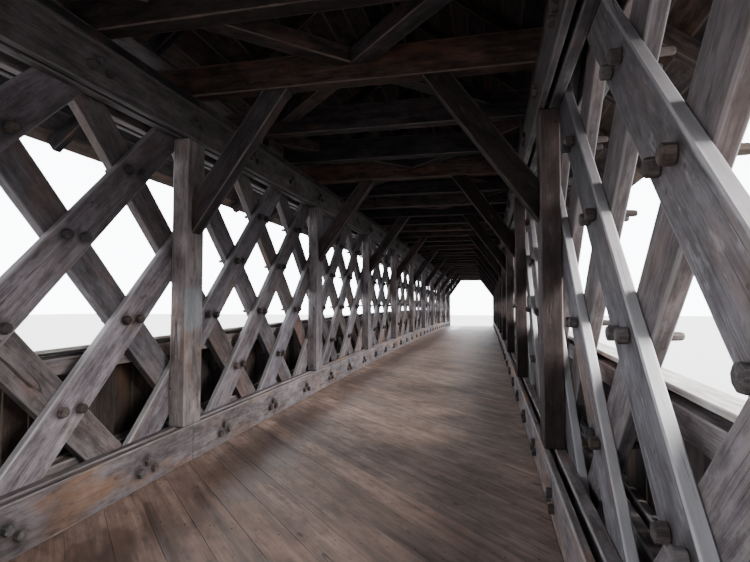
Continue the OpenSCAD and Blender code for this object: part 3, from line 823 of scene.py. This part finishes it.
board_wood = wood(
    "side boarding", (0.02, 0.0155, 0.014), (0.075, 0.058, 0.05), ((0.19, 0.095, 0.052), 0.5),
    ((0.12, 0.1, 0.088), 0.25), 0.8, cracks=0.5, coats=[(streaks, 0.6)])
deck_wood = wood(
    "deck boards", (0.242, 0.165, 0.134), (0.5, 0.357, 0.296), ((0.27, 0.185, 0.13), 0.3),
    ((0.38, 0.33, 0.29), 0.1), 0.3, knots=0.4, cracks=0.15, rough=0.56, relief=0.3, gloss=1.0,
    coats=[(portal_dirt_and_shade, 1.0), (trodden, 0.75)], damp=0.8)
cap_wood = wood(
    "cap boards", (0.2, 0.188, 0.178), (0.46, 0.44, 0.415), ((0.3, 0.22, 0.15), 0.3),
    ((0.6, 0.585, 0.565), 0.3), 0.15, knots=0.5, cracks=0.7, grime=0.4)
peg_wood = wood(
    "peg timber", (0.038, 0.032, 0.031), (0.15, 0.129, 0.125), ((0.18, 0.115, 0.08), 0.25),
    ((0.45, 0.41, 0.38), 0.0), 0.7, knots=0.0, cracks=0.3, grime=0.5, fibre=1.6, coats=[(painted_roof_shade, 0.9)])
shingle_wood = wood(
    "shingles", (0.024, 0.021, 0.0195), (0.085, 0.077, 0.071), ((0.1, 0.062, 0.04), 0.4),
    ((0.13, 0.125, 0.12), 0.1), 0.8, knots=0.0, cracks=0.7, coats=[(streaks, 0.6)])
nail_iron = rusty_iron("nail iron")
abutment_concrete = concrete("weathered concrete")


def lattice_layer(cut, x0, x1, lean, width):
    """planks at 45 degrees that fill one layer; a plank that meets the end of the truss is cut there"""
    half = width / math.sqrt(2)
    climb = upper_top - lower_bottom
    reach = int((truss_half + climb) / pitch) + 2
    for k in range(-reach, reach + 1):
        y_row = (k + 0.5) * pitch - row_shift
        ends = [y_row + lean * (z - row_zero) for z in (lower_bottom, upper_top)]
        if min(max(ends), lattice_end) - max(min(ends), -lattice_end) <= 2 * half:
            continue
        shape = []
        for y_end, z_end in zip(ends, (lower_bottom, upper_top)):
            corners = [(y_end - half, z_end), (y_end + half, z_end)]
            if abs(y_end) + half > lattice_end:
                limit = lattice_end if y_end > 0 else -lattice_end
                meet = z_end + (limit - y_end) * lean
                corners = [(limit, meet + half * lean), (limit, meet - half * lean)]
            shape.append(corners)
        cut.sawn("yz", cut.side * (x0 + x1) / 2, x1 - x0, shape[0][0], shape[1][0], shape[1][1], shape[0][1])
    return cut


def chord(cut, base):
    """a thin and a thick plank on each face of the lattice, with spacers between them at the posts"""
    for x0, x1, first in (
            (chord_in, chord_in + chord_thick, 1), (lattice_in - chord_back, lattice_in, 2),
            (lattice_out, lattice_out + chord_back, 1), (chord_out - chord_thick, chord_out, 2)):
        cut.bays(x0, x1, base, base + chord_height, lattice_end, first)
    for x in (chord_in + chord_thick, lattice_out + chord_back):
        for y in bay_points:
            cut.lengthwise(x + hair, x + chord_space - hair, *about(y, post_along), base + spacer_foot,
                           base + spacer_head)
    return cut


def posts(cut):
    for y in bay_points:
        cut.block("zyx", post_face, lattice_in - hair, *about(y, post_along), curb_top, upper_bottom)
    return cut


def knees(cut):
    steep = math.atan((plate_top - knee_foot) / knee_reach)
    tip = post_face - knee_reach
    for y in bay_points:
        cut.sawn("xz", y, knee_thick, (post_face, knee_foot), (tip, plate_top),
                 (tip + knee_depth / math.sin(steep), plate_top),
                 (post_face, knee_foot + knee_depth / math.cos(steep)))
    return cut


def crossings():
    """where planks of the two layers cross: the row, and its place along and above the deck"""
    for k in range(-16, 17):
        for row in range(-1, lattice_rows + 1):
            y = (k + 0.5) * pitch - row_shift + row * row_step
            if abs(y) <= truss_half - peg_end_room:
                yield row, y, row_zero + row * row_step


def lattice_pegs(cut):
    """pairs through both layers, left out where a post covers them"""
    x0, x1 = lattice_in - peg_head_out, lattice_out + peg_tail_out
    for row, y, z in crossings():
        behind_post = np.min(np.abs(bay_points - y)) < post_along / 2 + peg_post_room
        if 0 < row < lattice_rows and not behind_post:
            for shift, up in peg_pair:
                cut.peg((x0 + x1) / 2, y + shift, z + up, 1, 0.01, x1 - x0, pair_peg_width)
    return cut


def chord_pegs(cut):
    """in threes, on the inside of every chord and on the outside of the upper one"""
    for row, y, z in crossings():
        if 0 < row < lattice_rows:
            continue
        upper = row == lattice_rows
        for shift, up in peg_trio:
            height = (upper_mid if upper else z + trio_lift) + up
            for outward, x in ((-1, chord_in), (1, chord_out)) if upper else ((-1, chord_in),):
                cut.peg(x + outward * 0.01, y + shift, height, -outward, 0.006, trio_peg_length,
                        trio_peg_width)
    return cut


def truss(side, word, seed, inner_wood, upright_wood, shaded_brace_wood):
    inner = lattice_layer(Cutting(seed + 1, side), lattice_in, lattice_mid, 1, plank_width)
    outer = lattice_layer(Cutting(seed + 2, side), lattice_mid, lattice_out, -1, outer_plank_width)
    for cut, layer, material in ((inner, "inner", inner_wood), (outer, "outer", outer_wood)):
        cut.piece(f"{layer}_planks_{word}", material, "lattice_timber", f"lattice_{layer}_{word}",
                  (0.007, 0.006, 0.0035), long_stock, trim_lattice)
    for number, level, base, material, slot, finish in (
            (3, "lower", lower_bottom, under_wood, "lattice_timber", (0.006, 0.003, 0.002)),
            (4, "curb", curb_bottom, chord_wood, "chord_timber", (0.0085, 0.003, 0.003)),
            (5, "upper", upper_bottom, shaded_upper_chord_wood, "lattice_timber", (0.007, 0.003, 0.002))):
        chord(Cutting(seed + number, side), base).piece(
            f"{level}_chord_planks_{word}", material, slot, f"{level}_chord_{word}", finish)
    posts(Cutting(seed + 6, side)).piece(
        "post_timbers_" + word, upright_wood, "chord_timber", "posts_" + word, (0.009, 0.004, 0.003),
        long_stock)
    knees(Cutting(seed + 7, side)).piece(
        "knee_timbers_" + word, shaded_brace_wood, "lattice_timber", "knee_braces_" + word, (0.008, 0.004, 0.003))
    lattice_pegs(Cutting(seed + 8, side)).piece(
        "lattice_pegs_" + word, peg_wood, "lattice_timber", None, (0, 0.001, 0.003), through_peg)
    chord_pegs(Cutting(seed + 9, side)).piece(
        "chord_pegs_" + word, peg_wood, "chord_timber", None, (0, 0.001, 0.003), short_peg)


def plates():
    """two plates side by side on each truss, and a thin one on the tie ends for the rafters"""
    cut = Cutting(31)
    middle, end = (chord_in + chord_out) / 2, portal_face - portal_thick
    for side in cut.both_sides():
        cut.bays(chord_in, middle - hair, upper_top, plate_top, end)
        cut.bays(middle + hair, chord_out, upper_top, plate_top, end, 2)
        cut.bays(chord_out - rafter_plate_width, chord_out, tie_top, rafter_seat, end)
    cut.piece("plate_timbers", roof_wood, "dark_timber", "wall_plates")


def ties():
    cut = Cutting(32)
    for k in range(bays * pitches_per_bay + 1):
        y = -truss_half + k * pitch
        cut.block("xzy", -chord_out, chord_out, *about(y, tie_thick), plate_top, tie_top)
    cut.piece("tie_timbers", tie_wood, "dark_timber", "tie_beams", (0.009, 0.006, 0.003))


bracing_half = bracing_width / 2 * math.sqrt(2)
bracing_fall = (bracing_end + bracing_half) / (bay / 2 - 0.005)


def bracing():
    """crosses in plan between the ties, each arm in lengths that end at the ties it passes"""
    cut = Cutting(33)
    face, half, fall = tie_thick / 2 + 0.0005, bracing_half, bracing_fall
    outer_end = [(bracing_end, (bracing_end + half) / fall), (bracing_end, (bracing_end - half) / fall)]
    for k in range(bays + 1):
        for along in (-1, 1):
            if abs(bay_points[k] + along * pitch) > truss_half:
                continue
            for side in cut.both_sides():
                middle = tie_top - bracing_depth / 2 - (0.0 if side * along > 0 else 0.004)
                for y0, y1 in ((face, pitch - face), (pitch + face, None)):
                    far = [(fall * y1 - half, y1), (fall * y1 + half, y1)] if y1 else outer_end
                    shape = [(fall * y0 - half, y0), *far, (fall * y0 + half, y0)]
                    shape = [(x, bay_points[k] + along * y) for x, y in shape]
                    cut.sawn("xy", middle, bracing_depth - 0.008, *shape)
    cut.piece("bracing_timbers", tie_wood, "dark_timber", "plan_bracing", (0.008, 0.005, 0.003))


def bracing_blocks():
    cut = Cutting(34)
    wide = bay / 2 - (bracing_end - bracing_half) / bracing_fall
    for k in range(bays):
        y = bay_points[k] + bay / 2
        for side in cut.both_sides():
            cut.lengthwise(chord_in, bracing_end, y - wide, y + wide, plate_top, tie_top - bracing_depth)
    cut.piece("bracing_block_timbers", roof_wood, "dark_timber", "bracing_blocks", stock=short_stock)


def rafters(side, word):
    cut = Cutting(40 + side, side)
    tail = eave_x - rafter_depth * roof_sin
    last = portal_face - portal_thick - rafter_thick / 2 - hair
    rows = [-truss_half + k * pitch - rafter_shift for k in range(bays * pitches_per_bay + 1)]
    for y in [-last] + rows + [last]:
        cut.sawn("xz", y, rafter_thick, (half_ridge, rafter_under(half_ridge)), (tail, rafter_under(tail)),
                 (eave_x, rafter_over(eave_x)), (half_ridge, rafter_over(half_ridge)))
    cut.piece("rafter_timbers_" + word, roof_wood, "dark_timber", "rafters_" + word, (0.007, 0.004, 0.002))


def roof_boards(side, word):
    """boards along the roof under the shingles; their ends fall in three different places"""
    cut = Cutting(50 + side, side)
    length = (board_edge - hair) / roof_cos
    width = length / roof_board_rows
    for row in range(roof_board_rows):
        down = length * (row + 0.5) / roof_board_rows
        first = -roof_end + first_butt + butt_shift * (row % 3)
        cuts = [y for y in (first + roof_board_run * j for j in range(8)) if y < roof_end - 1]
        cuts = [-roof_end] + cuts + [roof_end]
        cut.on_slope(down, roof_board_thick / 2, zip(cuts, cuts[1:]), -hair, width + hair, roof_board_thick)
    cut.piece("roof_boards_" + word, roof_wood, "roofing", "roof_" + word, (0.002, 0, 0), short_stock,
              trim_roof)


def eave_board(side, word):
    cut = Cutting(60 + side, side)
    down = (roof_edge + board_edge) / 2 / roof_cos
    cut.on_slope(down, eave_thick / 2, two_bay_runs(roof_end), end_gap, eave_width, eave_thick)
    cut.piece("eave_board_" + word, board_wood, "boarding", "eave_boards", (0.004, 0.002, 0.002),
              level=trim_roof)


def shingles(side, word):
    """the flat courses, laid on the slope and raised a little over the eave board"""
    name = "shingles_" + word
    mesh = evaluated_mesh(name, bpy.data.meshes.new("roof sheet"), shingle_courses, {
        "Stock": wedge_stock, "Ridge Length": 2 * roof_end, "Slope Length": (roof_edge - 0.045) / roof_cos,
        "Seed": 11 + side, "Material": shingle_wood})
    flat = vertex_array(mesh)
    down = flat[:, 1] + (roof_edge - 0.01) / 2 / roof_cos
    out = flat[:, 2] + shingle_seat + np.where(down > (board_edge - 0.03) / roof_cos, eave_rise, 0.0)
    y = np.clip(-side * flat[:, 0], -roof_end, roof_end)
    x = side * (down * roof_cos + out * roof_sin)
    z = roof_top.z - down * roof_sin + out * roof_cos + deck_level + rise(y)
    write_vertices(mesh, np.stack([x, y, z], axis=1))
    finish_piece(name, mesh, "roofing", None)


def side_boards(side, word):
    """upright boards of different widths with open joints between them"""
    cut = Cutting(70 + side, side)
    y = -lattice_end
    while y < lattice_end - 0.05:
        width = cut.chance.uniform(*side_board_width)
        if lattice_end - y - width < least_side_board:
            width = lattice_end - y
        slit = cut.chance.choice(side_slits)
        drop = cut.chance.uniform(0.0, side_foot_drop)
        cut.block("zyx", chord_out, cladding_out - hair, y + hair, y + width - slit, cladding_bottom + drop,
                  cladding_top)
        y += width
    cut.piece("side_boards_" + word, board_wood, "boarding", "cladding_" + word, (0.002, 0.003, 0.0015),
              short_stock)


def ridge():
    cut = Cutting(80)
    bottom = rafter_under(half_ridge) - 0.03
    cut.bays(-half_ridge, half_ridge, bottom, rafter_over(half_ridge), portal_face - portal_thick)
    cut.piece("ridge_timber", roof_wood, "dark_timber", "ridge_board", (0.004, 0.002, 0.002))


def caps():
    """the wide sloping boards over the side boarding"""
    cut = Cutting(81)
    tilt = math.atan(cap_fall / cap_width)
    x = lattice_out + cap_gap + cap_width / 2
    for side in (-1, 1):
        for y0, y1 in two_bay_runs(lattice_end, shift=0.6):
            cut.add((side * x, (y0 + y1) / 2, cap_under(x) + cap_thick / 2), (0, 1, 0),
                    (side * math.cos(tilt), 0, -math.sin(tilt)),
                    (y1 - y0 - 0.004, cap_width / math.cos(tilt) - 0.012, cap_thick * 0.96))
    cut.piece("cap_boards", cap_wood, "cap_timber", "cap_rails", (0.004, 0.003, 0.002))


def rails():
    cut = Cutting(82)
    for side in cut.both_sides():
        cut.bays(lattice_out + cap_gap + 0.006, chord_out, cladding_top - rail_height, cladding_top - 0.002,
                 lattice_end)
    cut.piece("side_rails", post_wood, "boarding", "cladding_rails", (0.005, 0.003, 0.002))


def ridge_caps():
    cut = Cutting(83)
    for side in cut.both_sides():
        runs = two_bay_runs(roof_end, 1 if side > 0 else 2)
        cut.on_slope(ridge_cap_down, roof_thick + board_mid, runs, end_gap, ridge_cap_width, board_thick)
    cut.piece("ridge_cap_boards", shingle_wood, "roofing", "ridge_cap", (0.003, 0.002, 0.001),
              level=trim_roof)


def barges():
    cut = Cutting(84)
    depth = barge_depth / roof_cos
    for side in cut.both_sides():
        for y in (board_mid - roof_end, roof_end - board_mid):
            cut.sawn("xz", y, board_thick, (hair, rafter_over(hair) - depth),
                     (eave_x, rafter_over(eave_x) - depth), (eave_x, rafter_over(eave_x)),
                     (hair, rafter_over(hair)))
    cut.piece("barge_timbers", board_wood, "boarding", "barge_boards", (0.003, 0.002, 0.001), level=trim_roof)


def portal_foot(x):
    """the lower end of a portal board: over the opening, over its cut corner, or at the floor"""
    if x <= portal_head_half + 0.0001:
        return portal_head
    if x <= half_clear + 0.0001:
        corner = half_clear - portal_head_half
        return portal_head - (x - portal_head_half) * (portal_head - portal_side) / corner
    return -deck_thick


def portal(end, name, node):
    """upright boards outside, a frame of trimmers round the opening inside"""
    cut = Cutting(90 + end)
    outside, inside = end * (portal_face - board_mid), end * (portal_face - trimmer_mid)
    jamb_in, jamb_out = half_clear + hair, half_clear + jamb_width
    zones = ((0, portal_head_half, 4), (portal_head_half, half_clear, 4),
             (half_clear + 0.0002, cladding_out, 3))
    for side in cut.both_sides():
        for x_start, x_end, count in zones:
            for i in range(count):
                x0 = x_start + (x_end - x_start) * i / count
                x1 = x_start + (x_end - x_start) * (i + 1) / count - end_gap
                z0, z1 = portal_foot(x0 if x0 > x_start else x0 + 0.0001), portal_foot(x1)
                if x_start > half_clear:
                    z0 = z1 = -deck_thick
                cut.sawn("xz", outside, board_thick, (x0, z0), (x0, rafter_over(x0) - 0.002),
                         (x1, rafter_over(x1) - 0.002), (x1, z1))
        cut.sawn("xz", inside, trimmer_thick, (jamb_in, -deck_thick), (jamb_in, portal_side + 0.1),
                 (jamb_out, portal_side + 0.15), (jamb_out, -deck_thick))
        cut.sawn("xz", inside, trimmer_thick, (half_clear, portal_side + 0.01),
                 (portal_head_half, portal_head + 0.002), (portal_head_half, portal_head + corner_height),
                 (half_clear, portal_side + corner_height))
    cut.block("xzy", -portal_head_half, portal_head_half, *about(inside, trimmer_thick), portal_head,
              portal_head + head_width)
    cut.piece(name, board_wood, "boarding", node, (0.002, 0.002, 0.0015), short_stock)


def portal_walls():
    cut = Cutting(95)
    count = 4
    y_start, y_end = lattice_end + hair, portal_face - portal_thick - hair
    for side in cut.both_sides():
        for end in (-1, 1):
            for i in range(count):
                y0, y1 = sorted(end * (y_start + (y_end - y_start) * (i + f) / count) for f in (0, 1))
                cut.block("zyx", chord_out, cladding_out - hair, y0 + hair, y1 - hair, -deck_thick,
                          rafter_under(cladding_out))
    cut.piece("portal_wall_boards", board_wood, "boarding", "portal_side_walls", (0.002, 0.003, 0.002),
              short_stock)


def deck_edges():
    """where the joints of the deck boards meet its middle line, evenly spaced in three stretches"""
    first, last = deck_half - portal_face, portal_face - deck_half
    count = round((last - first) / (deck_board_width * math.sqrt(2)))
    step = (last - first) / count
    corner_count = round(2 * deck_half / step)
    corner_step = 2 * deck_half / corner_count
    edges = [first - corner_step * (corner_count - i) for i in range(corner_count)]
    edges += [first + step * i for i in range(count + 1)]
    return edges + [last + corner_step * (i + 1) for i in range(corner_count)]


def deck_line(c):
    """the two ends of the line x + y = c on the deck"""
    start = (deck_half, c - deck_half) if c - deck_half > -portal_face else (c + portal_face, -portal_face)
    end = (-deck_half, c + deck_half) if c + deck_half < portal_face else (c - portal_face, portal_face)
    return start, end


def deck(edges):
    """boards at 45 degrees, from near right to far left; one that ends in a corner gets a short edge"""
    cut = Cutting(96)
    for c0, c1 in zip(edges, edges[1:]):
        (a0, a1), (b0, b1) = deck_line(c0 + deck_joint / 2), deck_line(c1 - deck_joint / 2)
        if (Vector(a0) - Vector(a1)).length < corner_edge:
            a0 = ((a0[0] + a1[0]) / 2, (a0[1] + a1[1]) / 2)
            a1 = (a0[0] - 0.01, a0[1] + 0.01)
        if (Vector(b0) - Vector(b1)).length < corner_edge:
            b1 = (b1[0] - 0.01, b1[1] + 0.01)
        cut.sawn("xy", -deck_thick / 2, deck_thick - cut.chance.uniform(0.0, 0.002), a0, a1, b1, b0)
    cut.piece("deck_boards", deck_wood, "deck_timber", "deck", (0.0012, 0.002, 0.0008))


beam_count = round(truss_half * 2 / row_step)
beam_places = [-truss_half + k * truss_half * 2 / beam_count for k in range(beam_count + 1)]


def floor_beams():
    cut = Cutting(98)
    for y in beam_places:
        cut.block("xzy", -lattice_in, lattice_in, *about(y, beam_thick), lower_top, -deck_thick)
    cut.piece("floor_beam_timbers", under_wood, "dark_timber", "floor_beams", (0.005, 0.003, 0.002),
              short_stock)


def deck_nails(edges):
    """two to a board where it crosses a floor beam"""
    cut = Cutting(97)
    for y in beam_places:
        for c0, c1 in zip(edges, edges[1:]):
            for share in (0.25, 0.75):
                x = c0 + (c1 - c0) * share - y + cut.chance.uniform(-0.012, 0.012)
                if abs(x) < deck_half - 0.05 and abs(y) < portal_face:
                    cut.add((x, y + cut.chance.uniform(-0.02, 0.02), -0.0008), (0, 0, 1), (0, 1, 0),
                            (0.003, nail_width, nail_width))
    cut.piece("deck_nails", nail_iron, "deck_timber", None, (0, 0, 0), nail_stock)


def beds():
    """two baulks under the lower chords at each end"""
    cut = Cutting(99)
    reach, bottom = chord_out + 0.06, seat_level - deck_level
    for end in (-1, 1):
        for share in (0.2, 0.75):
            y = end * (truss_half - seat_reach * share)
            cut.block("xzy", -reach, reach, *about(y, bed_width), bottom, bottom + bed_height)
    cut.piece("bed_timber_baulks", under_wood, "dark_timber", "bed_timbers", (0.008, 0.003, 0.002))


def abutment(name, node, end):
    """a stepped block with trimmed edges: the seat of the bed timbers, and behind it the raised end"""
    inner, back, outer = truss_half - seat_reach, lattice_end + 0.07, portal_face
    top, seat, trim = deck_level - deck_thick, seat_level, 0.02
    profile = [(inner, 0), (outer, 0), (outer, top - trim), (outer - trim, top), (back + trim, top),
               (back, top - trim), (back, seat), (inner + trim, seat), (inner, seat - trim)]
    middle = (inner + outer) / 2
    rows = []
    for x, shrink in ((-abutment_half, trim), (trim - abutment_half, 0), (abutment_half - trim, 0),
                      (abutment_half, trim)):
        for y, z in profile:
            y_in = y - math.copysign(min(shrink, abs(y - middle)), y - middle)
            rows.append((x, end * y_in, z - shrink if z > 0 else z))
    faces = ring_faces(4, len(profile))
    if end < 0:
        faces = [tuple(reversed(f)) for f in faces]
    mesh = bpy.data.meshes.new(name)
    mesh.from_pydata(rows, [], faces)
    mesh.materials.append(abutment_concrete)
    mesh.validate()
    finish_piece(name, mesh, "concrete", node)


truss(-1, "left", 200, lattice_wood, post_wood, shaded_knee_wood)
truss(1, "right", 100, shaded_right_lattice_wood, shaded_post_wood, shaded_right_knee_wood)
plates()
ties()
bracing()
bracing_blocks()
for side, word in ((-1, "left"), (1, "right")):
    for make in (rafters, roof_boards, eave_board, shingles, side_boards):
        make(side, word)
ridge()
caps()
rails()
ridge_caps()
barges()
portal(-1, "near_portal_boards", "portal_near")
portal(1, "far_portal_boards", "portal_far")
portal_walls()
deck(deck_edges())
floor_beams()
deck_nails(deck_edges())
beds()
abutment("near_abutment_concrete", "abutment_near", -1)
abutment("far_abutment_concrete", "abutment_far", 1)


def pale_floor(reach):
    mesh = bpy.data.meshes.new("pale floor")
    mesh.from_pydata([(-reach, -reach, 0), (reach, -reach, 0), (reach, reach, 0), (-reach, reach, 0)], [],
                     [(0, 1, 2, 3)])
    pale = Skin("pale floor")
    pale.base = (0.55, 0.55, 0.54)
    mesh.materials.append(pale.surface(0.9))
    floor = bpy.data.objects.new("pale_floor", mesh)
    bpy.context.scene.collection.objects.link(floor)


def soft_daylight():
    """a sky that is brighter ahead of the camera than behind it, and brighter low than high"""
    world = bpy.data.worlds.new("soft daylight")
    bpy.context.scene.world = world
    world.use_nodes = True
    sky = world.node_tree.nodes["Background"].inputs
    air = Tree(world.node_tree)
    air.feed(sky["Color"], (0.9, 0.94, 1.0))
    x, y, z = air.split(air.node("ShaderNodeTexCoord").outputs["Generated"])
    ahead = air.less(y, air.times(x, 0.5))
    strength = air.times(air.remap(ahead, -1.0, 1.0, 1.0, 12.5), air.remap(z, 0.1, 1.0, 1.0, 0.35))
    air.feed(sky["Strength"], strength)


def hazy_sun():
    """a bright, hazy sky on the right"""
    haze = bpy.data.lights.new("hazy sun", "SUN")
    haze.energy = 20.0
    haze.angle = math.radians(44)
    haze.color = (1.0, 0.975, 0.955)
    sun = bpy.data.objects.new("hazy sun", haze)
    sun.rotation_euler = (0.0, math.radians(58), math.radians(-16))
    bpy.context.scene.collection.objects.link(sun)


def stand_camera(place, yaw, pitch_up):
    """inside the near portal, close to the right truss, looking along the bridge and a little left"""
    lens = bpy.data.cameras.new("camera")
    lens.sensor_width = 36.0
    lens.lens = 24.14
    camera = bpy.data.objects.new("camera", lens)
    bpy.context.scene.collection.objects.link(camera)
    level = math.cos(pitch_up)
    forward = Vector((-math.sin(yaw) * level, math.cos(yaw) * level, math.sin(pitch_up)))
    right = Vector((math.cos(yaw), math.sin(yaw), 0))
    stand = Matrix((right, right.cross(forward), -forward)).transposed().to_4x4()
    stand.translation = Vector(place)
    camera.matrix_world = stand
    bpy.context.scene.camera = camera


pale_floor(200)
soft_daylight()
hazy_sun()
stand_camera((1.14, -18.907, deck_level + 1.49), math.radians(12.55), math.radians(2.8))
